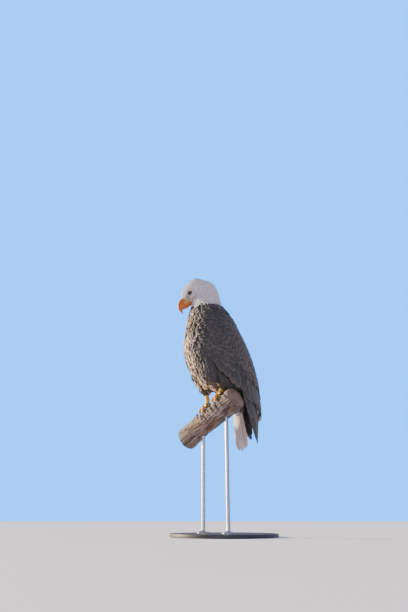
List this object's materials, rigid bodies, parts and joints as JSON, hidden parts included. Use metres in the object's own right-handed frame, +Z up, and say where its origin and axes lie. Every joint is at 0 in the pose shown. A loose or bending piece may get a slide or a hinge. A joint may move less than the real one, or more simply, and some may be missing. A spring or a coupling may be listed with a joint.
{
  "type": "bald eagle",
  "caption": "Life-size adult bald eagle with white head and tail, perched looking down past its breast on a short length of weathered branch held by rods over a round display base.",
  "frame": {"origin": "middle of the underside of the round base, which is also the bottom centre of the bounding box", "axes": "+Z up; the bird faces -Y, its left side is +X"},
  "size_m": [0.39, 0.39, 1.002],
  "materials": {
    "hood": "matte white feathers",
    "plumage": "matte dark brown feathers with paler edges",
    "flight": "smooth near-black flight feathers",
    "tail": "smooth white tail feathers",
    "bill": "horn with a soft sheen",
    "foot": "scaly yellow skin",
    "talon": "polished black horn",
    "eye": "wet, clear surface",
    "wood": "weathered, barkless, cracked along the grain",
    "base": "satin black paint",
    "rod": "fine brushed"
  },
  "bodies": {
    "root": {"head": "hood", "neck": "hood", "bill_upper": "bill", "bill_lower": "bill", "eye_left": "eye", "eye_right": "eye", "trunk": "plumage", "tail": "tail", "tail_coverts": "tail", "perch_branch": "wood", "stand_base": "base", "stand_rod_1": "rod", "stand_rod_2": "rod", "wing_left": "plumage", "primaries_left": "flight", "thigh_left": "plumage", "foot_left": "foot", "talon_left_inner": "talon", "talon_left_middle": "talon", "talon_left_outer": "talon", "talon_left_hind": "talon", "wing_right": "plumage", "primaries_right": "flight", "thigh_right": "plumage", "foot_right": "foot", "talon_right_inner": "talon", "talon_right_middle": "talon", "talon_right_outer": "talon", "talon_right_hind": "talon"}
  },
  "joints": []
}
